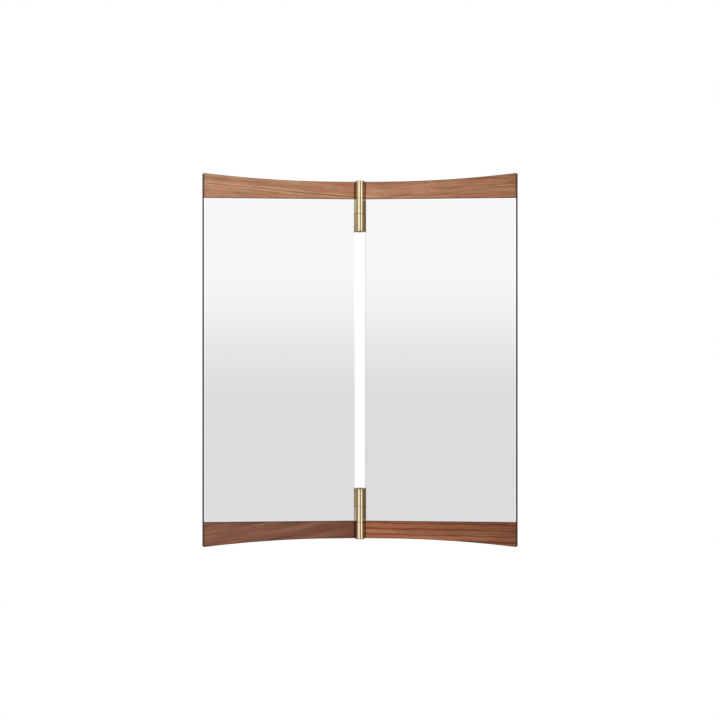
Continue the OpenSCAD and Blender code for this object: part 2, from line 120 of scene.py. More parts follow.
class WalnutSettings(PropertyGroup):
    """Colours and grain of the walnut pieces."""

    top_left_near: colour("Top Left Near", "Colour of the top left rail beside the barrel", 172, 119, 88)
    top_left_far: colour("Top Left Far", "Colour of the top left rail at its corner", 178, 132, 102)
    top_right_near: colour("Top Right Near", "Colour of the top right rail beside the barrel", 172, 121, 91)
    top_right_far: colour("Top Right Far", "Colour of the top right rail at its corner", 155, 104, 74)
    bottom_left_near: colour(
        "Bottom Left Near", "Colour of the bottom left rail beside the barrel", 113, 67, 49
    )
    bottom_left_far: colour("Bottom Left Far", "Colour of the bottom left rail at its corner", 137, 92, 69)
    bottom_right_near: colour(
        "Bottom Right Near", "Colour of the bottom right rail beside the barrel", 160, 98, 65
    )
    bottom_right_far: colour(
        "Bottom Right Far", "Colour of the bottom right rail at its corner", 123, 71, 44
    )
    upright_low: colour("Stile Foot", "Colour of the stiles at their lower end", 78, 56, 45)
    upright_high: colour("Stile Head", "Colour of the stiles at their upper end", 122, 92, 78)
    top_left_lie: angle("Top Left Lie", "Slope of the grain in the top left rail", -5.0)
    top_right_lie: angle("Top Right Lie", "Slope of the grain in the top right rail", 3.0)
    bottom_left_lie: angle("Bottom Left Lie", "Slope of the grain in the bottom left rail", 10.0)
    bottom_right_lie: angle("Bottom Right Lie", "Slope of the grain in the bottom right rail", -0.6)
    top_left_bands: share("Top Left Bands", "Strength of the broad bands in the top left rail", 0.35)
    top_right_bands: share("Top Right Bands", "Strength of the broad bands in the top right rail", 0.35)
    bottom_left_bands: share("Bottom Left Bands", "Strength of the broad bands in the bottom left rail", 1.0)
    bottom_right_bands: share(
        "Bottom Right Bands", "Strength of the broad bands in the bottom right rail", 0.55
    )
    upright_bands: share("Stile Bands", "Strength of the broad bands in the stiles", 0.40)
    top_left_lines: share("Top Left Lines", "Strength of the fine lines in the top left rail", 0.45)
    top_right_lines: share("Top Right Lines", "Strength of the fine lines in the top right rail", 1.0)
    bottom_left_lines: share("Bottom Left Lines", "Strength of the fine lines in the bottom left rail", 0.45)
    bottom_right_lines: share(
        "Bottom Right Lines", "Strength of the fine lines in the bottom right rail", 0.55
    )
    upright_lines: share("Stile Lines", "Strength of the fine lines in the stiles", 0.60)
    top_left_streak: distance(
        "Top Left Streak", "Height of the top left rail's pale streak at the hinge line", 0.3044
    )
    bottom_right_stripe: distance(
        "Bottom Right Stripe", "Height of one dark stripe in the bottom right rail", -0.3175
    )
    stripe_pitch: distance("Stripe Pitch", "Height from one dark stripe to the next", 10.8 * MM)
    band_width: distance("Band Width", "Width of a broad band of colour across the grain", 10 * MM)
    line_width: distance("Line Width", "Width of a fine grain line", 2.6 * MM)
    pore_width: distance("Pore Width", "Width of an open pore", 0.5 * MM)


class BrassSettings(PropertyGroup):
    """Colour and brushing of the brass pieces."""

    metal: colour("Brass", "Colour of clean brass", 196, 172, 126)
    # Darkened, this colour is also the painted shade on the brass end faces
    tarnish: colour("Tarnish", "Colour of brass where it has darkened", 150, 120, 70)
    brush_width: distance("Brush Width", "Width of one brushed line", 0.25 * MM)
    brush_length: distance("Brush Length", "Length of one brushed line", 60 * MM)


class MetalAndPlasticSettings(PropertyGroup):
    """Colours of the small hidden parts."""

    zinc: colour("Zinc", "Colour of the zinc-plated screws and spring washers", 186, 188, 190)
    nylon: colour("Nylon", "Colour of the bushes", 44, 43, 42)
    tape: colour("Tape", "Colour of the mounting tape", 232, 230, 224)


class GlassSettings(PropertyGroup):
    """Colours of the silvered glass."""

    silver: colour("Silver", "Tint of the reflection in the face", 241, 241, 241)
    # The bevel's brighter tint is a painted highlight along the bevel
    bevel: colour("Bevel", "Tint of the reflection in the bevel", 254, 254, 254)
    ground_edge: colour("Ground Edge", "Colour of the glass at its ground edge", 78, 84, 76)
    backing: colour("Backing", "Colour of the protective paint on the back", 96, 100, 104)


class BackSettings(PropertyGroup):
    """Colours of the back board, the dowels and the felt pads."""

    face_veneer: colour("Face Veneer", "Colour of the plywood's faces", 201, 168, 124)
    core_veneer: colour("Core Veneer", "Colour of the dark plies at the plywood's edge", 150, 112, 76)
    dowel: colour("Dowel", "Colour of the beech dowels", 214, 178, 134)
    felt: colour("Felt", "Colour of the felt pads", 84, 80, 76)
    felt_crown: distance("Felt Crown", "Height by which a pad's middle stands above its rim", 0.6 * MM)


class StudioSettings(PropertyGroup):
    """Camera, floor and light."""

    camera_distance: distance("Camera Distance", "Distance from the hinge line to the camera", 6.4)
    lens: FloatProperty(
        name="Lens", description="Focal length on a 36 mm sensor", unit="CAMERA", default=169.6
    )
    floor_drop: distance("Floor Drop", "Height of the mirror's middle above the floor", 1.2)
    floor_size: distance("Floor Size", "Width of the square floor", 8.0)
    ambient: share("Ambient", "Brightness of the light from all round", 0.42)
    key: power("Key Lamp", "Power of the large lamp above the camera", 60.0)
    strip: power("Strip Lamps", "Power of each tall lamp beside the camera", 14.0)
    rear: power("Rear Lamp", "Power of the lamp behind the mirror", 40.0)
    panel_glow: FloatProperty(
        name="Light Panels",
        description="Brightness of the light panels that the brass shows",
        min=0.0,
        default=3.7,
    )
    panel_tint: colour("Light Panel Tint", "Colour of the tall light panels", 197, 214, 255)
    shade_tint: colour("Shade Tint", "Colour of the room beyond the right-hand light panel", 255, 241, 213)


class MirrorSettings(PropertyGroup):
    """All settings of the wall mirror."""

    walnut: PointerProperty(type=WalnutSettings)
    brass: PointerProperty(type=BrassSettings)
    small_parts: PointerProperty(type=MetalAndPlasticSettings)
    glass: PointerProperty(type=GlassSettings)
    back: PointerProperty(type=BackSettings)
    studio: PointerProperty(type=StudioSettings)


class Value:
    """Output socket of a node tree. Arithmetic on a number adds Math nodes."""

    def __init__(self, tree, socket):
        self.tree = tree
        self.socket = socket

    def math(self, operation, first, second=0.0, clamp=False):
        return self.tree.node(
            "ShaderNodeMath", {"operation": operation, "use_clamp": clamp}, {0: first, 1: second}
        )

    def __add__(self, other):
        return self.math("ADD", self, other)

    __radd__ = __add__

    def __sub__(self, other):
        return self.math("SUBTRACT", self, other)

    def __rsub__(self, other):
        return self.math("SUBTRACT", other, self)

    def __mul__(self, other):
        return self.math("MULTIPLY", self, other)

    __rmul__ = __mul__

    def __truediv__(self, other):
        return self.math("DIVIDE", self, other)

    def __rtruediv__(self, other):
        return self.math("DIVIDE", other, self)

    def absolute(self):
        return self.math("ABSOLUTE", self)

    def clamped(self):
        return self.math("ADD", self, clamp=True)

    def cosine(self):
        return self.math("COSINE", self)

    def root(self):
        return self.math("SQRT", self)

    def zigzag(self, width):
        """Goes up to a width and back down to 0, again and again."""
        return self.math("PINGPONG", self, width)

    def over(self, level, blur):
        """Smooth step from 0 to 1 as this number passes a level."""
        return self.tree.node(
            "ShaderNodeMapRange",
            {"interpolation_type": "SMOOTHSTEP"},
            {"Value": self, "From Min": level - blur, "From Max": level + blur},
        )

    def between(self, low, high, blur):
        """Mask that is 1 where this number lies between two levels."""
        return self.over(low, blur) - self.over(high, blur)


class Tree:
    """Node tree of a material or a world, filled one node at a time."""

    def __init__(self, owner):
        owner.use_nodes = True
        self.owner = owner
        self.tree = owner.node_tree
        self.tree.nodes.clear()

    def node(self, kind, settings=None, inputs=None, output=0):
        """Adds a node, sets it up, sets or links its sockets, and returns one of its outputs."""
        made = self.tree.nodes.new(kind)
        for name, value in (settings or {}).items():
            if name == "stops":
                self.set_stops(made.color_ramp, value)
            else:
                setattr(made, name, value)
        for name, value in (inputs or {}).items():
            if isinstance(value, Value):
                self.tree.links.new(value.socket, made.inputs[name])
            else:
                made.inputs[name].default_value = value
        return Value(self, made.outputs[output]) if made.outputs else None

    @staticmethod
    def set_stops(ramp, stops):
        """Gives a colour ramp its positions and colours."""
        while len(ramp.elements) < len(stops):
            ramp.elements.new(1.0)
        for element, (position, tint) in zip(ramp.elements, stops):
            element.position = position
            element.color = (*tint, 1.0)

    def place(self, vector, turn=(0, 0, 0), move=(0, 0, 0), stretch=(1, 1, 1)):
        """Scales, turns and moves a vector."""
        sockets = {"Vector": vector, "Rotation": turn, "Location": move, "Scale": stretch}
        return self.node("ShaderNodeMapping", None, sockets)

    def shift(self, vector, by):
        """Adds a second vector to a first."""
        return self.node("ShaderNodeVectorMath", {"operation": "ADD"}, {0: vector, 1: by})

    def parts(self, vector):
        """The three numbers of a vector."""
        split = self.node("ShaderNodeSeparateXYZ", None, {0: vector}).socket.node
        return [Value(self, socket) for socket in split.outputs]

    def noise(self, vector, size, detail=2.0, roughness=0.5, seed=0.0):
        """Noise from 0 to 1 whose blotches measure about size along each axis."""
        stretch = [1 / s for s in size]
        placed = self.place(vector, stretch=stretch, move=(seed, 1.7 * seed, 2.3 * seed))
        sockets = {"Vector": placed, "Scale": 1.0, "Detail": detail, "Roughness": roughness}
        return self.node("ShaderNodeTexNoise", None, sockets)

    def mix(self, factor, first, second):
        """Colour between two colours."""
        return self.node(
            "ShaderNodeMix", {"data_type": "RGBA"}, {0: factor, 6: opaque(first), 7: opaque(second)}, 2
        )

    def tinted(self, first, second):
        """One colour multiplied by another."""
        return self.node("ShaderNodeVectorMath", {"operation": "MULTIPLY"}, {0: first, 1: second})

    def ramp(self, factor, stops):
        """Colour that a number finds on a ramp."""
        return self.node("ShaderNodeValToRGB", {"stops": stops}, {0: factor})

    def bump(self, height, depth, strength=1.0):
        """Normal of a surface with a relief of a real depth."""
        return self.node("ShaderNodeBump", None, {"Height": height, "Distance": depth, "Strength": strength})

    def rays(self, *kinds):
        """Masks of the kinds of light ray that look at this material or world."""
        path = self.node("ShaderNodeLightPath").socket.node
        return [Value(self, path.outputs[f"Is {kind} Ray"]) for kind in kinds]

    def glow(self, strength):
        """White light given off by a surface."""
        return self.node("ShaderNodeEmission", None, {"Color": (1, 1, 1, 1), "Strength": strength})

    def surface(self, **inputs):
        """The material's one surface shader, linked to its output."""
        named = {name.replace("_", " "): value for name, value in inputs.items()}
        if not isinstance(named.get("Base Color"), Value):
            named["Base Color"] = opaque(named["Base Color"])
        shader = self.node("ShaderNodeBsdfPrincipled", None, named)
        self.node("ShaderNodeOutputMaterial", None, {"Surface": shader})
        return self.owner


def opaque(tint):
    """A plain colour with its alpha, or a linked one as it is."""
    return tint if isinstance(tint, Value) else (*tint, 1.0)


def darker(tint, amount):
    """A plain colour scaled by a number."""
    return tuple(min(1.0, c * amount) for c in tint)


def new_finish(name):
    """Empty material tree."""
    return Tree(bpy.data.materials.new(name))


def panel_space(tree, side):
    """Place on a panel: x along it from the hinge line, y backwards through it, z up."""
    turn = Matrix.Rotation(SWING[side], 3, "Z")
    place = tree.node("ShaderNodeTexCoord", output="Object")
    return tree.place(place, turn=(0, 0, SWING[side]), move=tuple(-(turn @ HINGE)))


def panel_way(tree, side):
    """Way that a panel's surface faces, in the panel's own directions."""
    return tree.place(tree.node("ShaderNodeTexCoord", output="Normal"), turn=(0, 0, SWING[side]))


def root_space(tree):
    """Place on the wall bracket, from the hinge line at mid height."""
    return tree.place(tree.node("ShaderNodeTexCoord", output="Object"), move=tuple(-HINGE))


def paint(finish, *names):
    """Gives CAD nodes a finish."""
    for name in names:
        frame["nodes"][name].data.materials[0] = finish


def walnut(name, side, along, near, far, lie, bands, lines, seed, upright=False, figure=None, shoulder=None):
    """Oiled walnut whose grain runs along the piece: broad bands, fine lines, open pores and painted shade.

    The tint goes from near to far over a span of one coordinate of the panel. A figure adds a streak or
    stripes of its own to the grain, and the shoulder is the height at which a rail's face ends beside the
    glass.
    """
    settings = bpy.context.scene.folding_mirror.walnut
    tree = new_finish(name)
    place = panel_space(tree, side)
    turn = (0, math.pi / 2 + lie, 0) if upright else (0, lie, 0)
    straight = tree.place(place, turn=turn)
    sway = (tree.noise(straight, (0.10, 0.06, 0.05), 3.0, seed=seed) - 0.5) * 0.010
    grain = tree.shift(straight, tree.node("ShaderNodeCombineXYZ", None, {"Z": sway}))
    band, line, pore = settings.band_width, settings.line_width, settings.pore_width
    broad = tree.noise(grain, (0.30, 3 * band, band), 2.0, 0.5, seed + 3)
    fine = tree.noise(grain, (0.07, 2 * line, line), 3.0, 0.6, seed + 7)
    fibres = tree.noise(grain, (0.02, 0.7 * MM, 0.5 * MM), 2.0, 0.6, seed + 11)
    pores = tree.noise(grain, (9 * MM, 1.4 * pore, pore), 1.0, 0.5, seed + 13).over(0.64, 0.05)
    blotch = tree.noise(straight, (0.05, 0.05, 0.012), 2.0, 0.5, seed + 17)
    height = (
        0.5
        + (broad - 0.5) * (2.6 * bands)
        + (fine - 0.5) * (2.6 * lines)
        + (fibres - 0.5) * 0.35
        + (blotch - 0.5) * 0.5
    )
    if figure:
        height = height + figure(tree.parts(grain)[2])
    axis, start, end = along
    reach = tree.parts(place)[axis]
    if axis == 0:
        reach = reach.absolute()
    far_share = ((reach - start) / (end - start)).clamped()
    wood = tree.mix(far_share, tree.ramp(height, tones(near)), tree.ramp(height, tones(far)))
    ruddy = tree.noise(straight, (0.035, 0.05, 0.010), 2.0, 0.5, seed + 23).over(0.56, 0.10)
    wood = tree.tinted(wood, tree.mix(ruddy, (0.97, 1.0, 0.98), (1.05, 0.96, 0.95)))
    wood = tree.mix(pores * 0.45, wood, darker(near, 0.42))
    outward, forward, _ = tree.parts(panel_way(tree, side))
    # Faces turned half forward, the chamfers along the front edges, are painted dark: painted shade
    dark = forward.between(-0.86, -0.5, 0.04)
    end_grain = outward.absolute().over(0.9, 0.05)
    if shoulder:
        # Beside its rounded edges, a rail gets a line of painted shade along the glass, and its end grain is
        # painted dark, partly the end grain's own darker tone and partly painted shade in the cove beside
        # the barrel
        heights = tree.parts(place)[2].absolute()
        shade_beside_glass = heights.between(shoulder - 0.4 * MM, shoulder + 1.0 * MM, 0.25 * MM)
        dark = dark * 0.75 + shade_beside_glass * 0.45 + end_grain * 0.85
    wood = tree.mix(dark, wood, darker(far, 0.22))
    return tree.surface(
        Base_Color=wood,
        Roughness=0.50 + (fine - 0.5) * 0.16 + pores * 0.18 + end_grain * 0.4,
        Normal=tree.bump(fibres * 0.35 - pores * 1.0, 0.06 * MM, 0.7),
        IOR=1.46,
        Specular_IOR_Level=0.3 if shoulder else 0.05,
    )


def tones(tint):
    """Stops of the grain from its dark, ruddy lines to its pale ones."""
    steps = (
        (0.0, (0.50, 0.40, 0.36)),
        (0.40, (0.92, 0.89, 0.88)),
        (0.62, (1.07, 1.10, 1.10)),
        (1.0, (1.38, 1.56, 1.62)),
    )
    return [(at, tuple(min(1.0, c * k) for c, k in zip(tint, change))) for at, change in steps]


def brass(name, space, along):
    """Satin brass, brushed along one axis, with faint clouds of tarnish and end faces painted dark as
    painted shade.
    """
    settings = bpy.context.scene.folding_mirror.brass
    tree = new_finish(name)
    where = space(tree)
    size = [settings.brush_width] * 3
    size[along] = settings.brush_length
    brushed = tree.noise(where, size, 3.0, 0.6, 2)
    cloud = tree.noise(where, (14 * MM, 14 * MM, 22 * MM), 3.0, 0.55, 5)
    specks = tree.noise(where, (0.7 * MM,) * 3, 1.0, 0.5, 9).over(0.74, 0.03)
    tarnish = cloud.over(0.62, 0.16) * 0.12 + specks * 0.10
    facing = tree.parts(tree.node("ShaderNodeTexCoord", output="Normal"))[along].absolute()
    # End faces are painted in a darkened tarnish colour: painted shade, not tarnish
    shaded_ends = facing.over(0.12, 0.03) * 0.8
    metal = tree.mix(tarnish, settings.metal, settings.tarnish)
    return tree.surface(
        Base_Color=tree.mix(shaded_ends, metal, darker(settings.tarnish, 0.4)),
        Metallic=1.0,
        Roughness=0.13 + (brushed - 0.5) * 0.06 + (cloud - 0.5) * 0.04 + specks * 0.08,
        Normal=tree.bump(brushed, 0.001 * MM, 0.5),
    )


class MirrorPiece:
    """What the operators of this add-on have in common."""

    bl_options = {"REGISTER", "UNDO"}

    @staticmethod
    def settings(context):
        return context.scene.folding_mirror


class MIRROR_OT_rails(MirrorPiece, Operator):
    """Finish the four curved rails in oiled walnut, each in its own tone and grain, the top ones lighter"""

    bl_idname = "wall_mirror.rails"
    bl_label = "Finish Rails"

    def execute(self, context):
        wood = self.settings(context).walnut

        def streak(across):
            """Pale streak with a dark line along its middle."""
            off = (across - wood.top_left_streak).absolute()
            pale = off.between(1.7 * MM, 3.3 * MM, 0.5 * MM)
            dark = 1.0 - off.over(1.2 * MM, 0.5 * MM)
            return pale * 0.48 - dark * 0.16

        def stripes(across):
            """Narrow dark stripes along the grain, with broad orange ones between them."""
            phase = (across - wood.bottom_right_stripe) * (math.tau / wood.stripe_pitch)
            return 0.11 - phase.cosine().over(0.66, 0.34) * 0.66

        figures = {"top_left": streak, "bottom_right": stripes}
        for seed, (side, place) in enumerate((s, p) for p in ("top", "bottom") for s in SIDES):
            board = f"{place}_{side}"
            points = panel_points(side, f"{side}_{place}_rail")
            front = min(p.y for p in points)
            face = [p for p in points if p.y < front + 0.1 * MM]
            finish = walnut(
                f"walnut_{board}",
                side,
                (0, 0.0, max(abs(p.x) for p in points)),
                *(getattr(wood, f"{board}_{part}") for part in ("near", "far", "lie", "bands", "lines")),
                seed=20.0 + 9 * seed,
                figure=figures.get(board),
                shoulder=min(abs(p.z) for p in face),
            )
            paint(finish, f"{side}_{place}_rail")
        return {"FINISHED"}


class MIRROR_OT_stiles(MirrorPiece, Operator):
    """Finish the stiles and middle rails in darker walnut with the grain along each piece"""

    bl_idname = "wall_mirror.stiles"
    bl_label = "Finish Stiles"

    def execute(self, context):
        wood = self.settings(context).walnut
        for seed, side in enumerate(SIDES):
            top = max(p.z for p in panel_points(side, f"{side}_outer_stile"))
            tints = (wood.upright_low, wood.upright_high)
            tone = ((2, -top, top), *tints, 0.0, wood.upright_bands, wood.upright_lines)
            level = walnut(f"walnut_{side}_middle_rail", side, *tone, seed=70.0 + 5 * seed)
            paint(level, f"{side}_middle_rail")
            upright = walnut(f"walnut_{side}_stiles", side, *tone, seed=70.0 + 5 * seed, upright=True)
            paint(upright, f"{side}_outer_stile", f"{side}_inner_stile")
        return {"FINISHED"}


class MIRROR_OT_glass(MirrorPiece, Operator):
    """Finish the bevelled mirror glass: silver in front, a ground edge and a painted back"""

    bl_idname = "wall_mirror.glass"
    bl_label = "Finish Mirror Glass"

    def execute(self, context):
        tone = self.settings(context).glass
        for side in SIDES:
            tree = new_finish(f"{side}_silvered_glass")
            place = panel_space(tree, side)
            across, depth, height = tree.parts(place)
            points = panel_points(side, f"{side}_mirror_glass")
            front = min(p.y for p in points)
            face = [p for p in points if p.y < front + 0.1 * MM]
            inner, outer = (pick(abs(p.x) for p in face) for pick in (min, max))
            top = max(p.z for p in face)
            sharp, bevel_drop, thickness = 0.02 * MM, 1.2 * MM, 4 * MM
            flat = across.absolute().between(inner, outer, sharp)
            flat = flat * (1.0 - height.absolute().over(top, sharp))
            edge = depth.over(front + bevel_drop, 0.1 * MM)
            back = depth.over(front + thickness - 0.05 * MM, sharp)
            wipe = tree.noise(place, (0.18, 0.18, 0.05), 3.0, 0.6, 4)
            grit = tree.noise(place, (0.4 * MM,) * 3, 1.0, 0.5, 6)
            grey = tree.mix(back, tone.ground_edge, tone.backing)
            # The bevel round the flat face reflects in a brighter tint than the face: a painted highlight
            paint(
                tree.surface(
                    Base_Color=tree.mix(edge, tree.mix(flat, tone.bevel, tone.silver), grey),
                    Metallic=1.0 - edge,
                    Roughness=wipe * 0.02 + edge * (0.35 + grit * 0.2),
                ),
                f"{side}_mirror_glass",
            )
        return {"FINISHED"}


class MIRROR_OT_barrels(MirrorPiece, Operator):
    """Finish the hinge barrels, leaves, pins, nuts and wall fittings in satin brass"""

    bl_idname = "wall_mirror.barrels"
    bl_label = "Finish Brass"

    def execute(self, context):
        upright = brass("brass_barrel", root_space, 2)
        level = brass("brass_wall_plate", root_space, 0)
        for end in ("upper", "lower"):
            paint(upright, f"{end}_wall_arm", f"{end}_hinge_pin", f"{end}_pin_nut", f"{end}_thrust_washers")
            paint(level, f"{end}_wall_plate")
            paint(upright, *(f"{side}_{end}_leaf" for side in SIDES))
        paint(upright, *(f"{side}_leaf_screws" for side in SIDES))
        return {"FINISHED"}


class MIRROR_OT_steel(MirrorPiece, Operator):
    """Finish the screws of the arms and back boards and the spring washers in zinc-plated steel"""

    bl_idname = "wall_mirror.steel"
    bl_label = "Finish Steel"

    def execute(self, context):
        tree = new_finish("zinc_plate")
        place = root_space(tree)
        zinc = self.settings(context).small_parts.zinc
        cloud = tree.noise(place, (2.5 * MM,) * 3, 3.0, 0.6, 3)
        fine = tree.noise(place, (0.3 * MM,) * 3, 2.0, 0.5, 8)
        finish = tree.surface(
            Base_Color=tree.mix(cloud, darker(zinc, 0.78), darker(zinc, 1.12)),
            Metallic=1.0,
            Roughness=0.24 + cloud * 0.16 + fine * 0.10,
            Normal=tree.bump(fine, 0.01 * MM, 0.4),
        )
        paint(finish, "arm_screws", "spring_washers", *(f"{side}_back_screws" for side in SIDES))
        return {"FINISHED"}


class MIRROR_OT_bushes(MirrorPiece, Operator):
    """Finish the bushes in dark nylon, and the mounting tape in off-white"""

    bl_idname = "wall_mirror.bushes"
    bl_label = "Finish Bushes and Tape"

    def execute(self, context):
        tone = self.settings(context).small_parts
        tree = new_finish("dark_nylon")
        place = root_space(tree)
        fine = tree.noise(place, (0.25 * MM,) * 3, 2.0, 0.5, 2)
        cloud = tree.noise(place, (3 * MM,) * 3, 2.0, 0.5, 5)
        nylon = tree.surface(
            Base_Color=tree.mix(cloud, darker(tone.nylon, 0.8), darker(tone.nylon, 1.3)),
            Roughness=0.42 + fine * 0.16,
            Normal=tree.bump(fine, 0.01 * MM, 0.5),
        )
        paint(nylon, *(f"{side}_bushes" for side in SIDES))
        tree = new_finish("mounting_tape")
        place = root_space(tree)
        cells = tree.noise(place, (0.5 * MM,) * 3, 2.0, 0.6, 7)
        tape = tree.surface(
            Base_Color=tree.mix(cells, darker(tone.tape, 0.86), darker(tone.tape, 1.04)),
            Roughness=0.70 + cells * 0.15,
            Normal=tree.bump(cells, 0.03 * MM, 0.6),
        )
        paint(tape, *(f"{side}_mirror_tape" for side in SIDES))
        return {"FINISHED"}


class MIRROR_OT_dowels(MirrorPiece, Operator):
    """Finish the dowels of the frame joints in plain beech with short flecks"""

    bl_idname = "wall_mirror.dowels"
    bl_label = "Finish Dowels"

    def execute(self, context):
        beech = self.settings(context).back.dowel
        for side in SIDES:
            tree = new_finish(f"{side}_beech")
            place = panel_space(tree, side)
            grain = tree.noise(place, (2 * MM, 2 * MM, 30 * MM), 3.0, 0.6, 3)
            flecks = tree.noise(place, (0.4 * MM, 0.4 * MM, 2.5 * MM), 1.0, 0.5, 6).over(0.62, 0.04)
            wood = tree.mix(grain, darker(beech, 0.85), darker(beech, 1.1))
            finish = tree.surface(
                Base_Color=tree.mix(flecks * 0.4, wood, darker(beech, 0.6)),
                Roughness=0.6 + grain * 0.15,
                Normal=tree.bump(grain, 0.05 * MM, 0.4),
            )
            paint(finish, f"{side}_dowels")
        return {"FINISHED"}


class MIRROR_OT_back_boards(MirrorPiece, Operator):
    """Finish the back boards in sanded plywood, with plies at the edge and grain on the face"""

    bl_idname = "wall_mirror.back_boards"
    bl_label = "Finish Back Boards"

    def execute(self, context):
        tone = self.settings(context).back
        for seed, side in enumerate(SIDES):
            tree = new_finish(f"{side}_plywood")
            place = panel_space(tree, side)
            sway = (tree.noise(place, (0.05, 0.05, 0.30), 2.0, seed=seed) - 0.5) * 0.03
            grain = tree.shift(place, tree.node("ShaderNodeCombineXYZ", None, {"X": sway}))
            bands = tree.noise(grain, (14 * MM, 0.2, 0.6), 3.0, 0.6, seed + 2)
            lines = tree.noise(grain, (1.6 * MM, 1.0 * MM, 0.14), 3.0, 0.6, seed + 5)
            pores = tree.noise(grain, (0.3 * MM, 0.3 * MM, 5 * MM), 1.0, 0.5, seed + 8).over(0.68, 0.04)
            veneer = tone.face_veneer
            face = tree.ramp(
                0.5 + (bands - 0.5) * 1.5 + (lines - 0.5) * 0.7,
                [(0.1, darker(veneer, 0.72)), (0.5, veneer), (0.9, darker(veneer, 1.16))],
            )
            depth = tree.parts(place)[1]
            behind = max(panel_points(side, f"{side}_back_board"), key=lambda p: p.y).y
            board, ply, skin = 4 * MM, 0.8 * MM, 0.1 * MM
            layer = (depth - (behind - board)).zigzag(ply) / ply
            core = layer.over(0.5, 0.2) * depth.between(behind - board + skin, behind - skin, skin / 2)
            wood = tree.mix(core * 0.8, face, tone.core_veneer)
            finish = tree.surface(
                Base_Color=tree.mix(pores * 0.35, wood, tone.core_veneer),
                Roughness=0.62 + (lines - 0.5) * 0.2,
                Normal=tree.bump(lines * 0.6 - pores, 0.05 * MM, 0.5),
            )
            paint(finish, f"{side}_back_board")
        return {"FINISHED"}


def panel_points(side, node):
    """Points of a CAD node at rest in panel space."""
    turn = Matrix.Rotation(SWING[side], 3, "Z")
    return [turn @ (v.co - HINGE) for v in frame["nodes"][node].data.vertices]


def only(obj):
    """Makes an object the only one selected, and active."""
    bpy.ops.object.select_all(action="DESELECT")
    obj.select_set(True)
    bpy.context.view_layer.objects.active = obj


class MIRROR_OT_felt_pads(MirrorPiece, Operator):
    """Model the felt pads on the backs of the panels, crowned and with a pressed fibre surface"""

    bl_idname = "wall_mirror.felt_pads"
    bl_label = "Model Felt Pads"

    def execute(self, context):
        tone = self.settings(context).back
        tree = new_finish("felt")
        place = root_space(tree)
        fibres = tree.noise(place, (0.25 * MM, 0.25 * MM, 0.9 * MM), 3.0, 0.7, 3)
        across = tree.noise(place, (0.9 * MM, 0.25 * MM, 0.25 * MM), 3.0, 0.7, 5)
        clumps = tree.noise(place, (2.2 * MM,) * 3, 2.0, 0.5, 8)
        mingled = fibres * 0.5 + across * 0.5
        tint = tree.mix(mingled * 0.7 + clumps * 0.3, darker(tone.felt, 0.55), darker(tone.felt, 1.6))
        felt = tree.surface(
            Base_Color=tint,
            Roughness=0.88 + (clumps - 0.5) * 0.1,
            Sheen_Weight=0.35,
            Normal=tree.bump(mingled, 0.25 * MM, 0.9),
        )
        for side in SIDES:
            points = panel_points(side, f"{side}_wall_pads")
            pads = [self.model_pad(side, [p for p in points if p.z * end > 0], tone) for end in (1, -1)]
            only(pads[0])
            pads[1].select_set(True)
            bpy.ops.object.join()
            pair = context.object
            pair.name = pair.data.name = f"{side}_felt_pads"
            pair.data.materials.append(felt)
            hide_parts(f"{side}_wall_pads")
            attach(pair, f"{side}_panel")
        return {"FINISHED"}

    @staticmethod
    def model_pad(side, points, tone):
        """One pad in the space of its CAD solid, from a cylinder that is inset, rounded and roughened."""
        low = Vector([min(p[i] for p in points) for i in range(3)])
        high = Vector([max(p[i] for p in points) for i in range(3)])
        middle = (low + high) / 2
        radius, height = (high.x - low.x) / 2, high.y - low.y
        bpy.ops.object.select_all(action="DESELECT")
        bpy.ops.mesh.primitive_cylinder_add(
            vertices=64, radius=radius, depth=height, location=middle, rotation=(-math.pi / 2, 0, 0)
        )
        pad = bpy.context.object
        bpy.ops.object.transform_apply(location=True, rotation=True, scale=True)
        mesh = pad.data
        wall_side = [f.index for f in mesh.polygons if len(f.vertices) > 4 and f.center.y > middle.y]
        bpy.ops.object.mode_set(mode="EDIT")
        bpy.ops.mesh.select_all(action="DESELECT")
        bpy.ops.object.mode_set(mode="OBJECT")
        for index in wall_side:
            mesh.polygons[index].select = True
        bpy.ops.object.mode_set(mode="EDIT")
        soft_rim, rings, ring_width = 0.9 * MM, 7, radius * 0.115
        bpy.ops.mesh.bevel(offset=soft_rim, segments=4, affect="EDGES")
        for _ in range(rings):
            bpy.ops.mesh.inset(thickness=ring_width)
        bpy.ops.object.mode_set(mode="OBJECT")
        for vertex in mesh.vertices:
            out = Vector((vertex.co.x - middle.x, 0, vertex.co.z - middle.z)).length / radius
            grain = noise.noise(vertex.co / (1.3 * MM))
            if vertex.co.y > middle.y:
                vertex.co.y -= tone.felt_crown * out**2 + 0.05 * MM * (1 + grain)
        only(pad)
        turn = Matrix.Rotation(-SWING[side], 4, "Z")
        pad.matrix_world = Matrix.Translation(HINGE) @ turn
        bpy.ops.object.transform_apply(location=True, rotation=True, scale=True)
        bpy.ops.object.shade_smooth_by_angle(angle=math.radians(40))
        return pad


